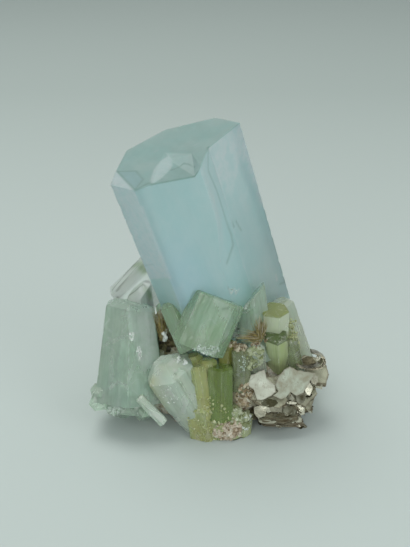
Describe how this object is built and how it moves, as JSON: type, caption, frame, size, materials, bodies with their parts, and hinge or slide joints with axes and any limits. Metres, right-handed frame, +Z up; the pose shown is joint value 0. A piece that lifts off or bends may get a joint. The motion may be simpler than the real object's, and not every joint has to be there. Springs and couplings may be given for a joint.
{
  "type": "aquamarine crystal specimen",
  "caption": "Cluster of pale blue and green beryl crystals with mica and feldspar, led by one large leaning prism, flat underneath so that it stands on a shelf or table.",
  "frame": {"origin": "a point on the flat underside of the feldspar, under the foot of the big prism", "axes": "+Z up as it stands, +X to the viewer's right, +Y away from the viewer"},
  "size_m": [0.0521, 0.0393, 0.0659],
  "materials": {
    "beryl": "clear to frosted natural crystal faces",
    "feldspar": "rough, granular",
    "mica": "pearly to silvery sheets",
    "brown_blades": "dull, weathered"
  },
  "bodies": {
    "root": {"aquamarine_crystals": "beryl", "feldspar_matrix": "feldspar", "mica_books": "mica", "brown_blades_top": "brown_blades", "brown_blades_left": "brown_blades"}
  },
  "joints": []
}
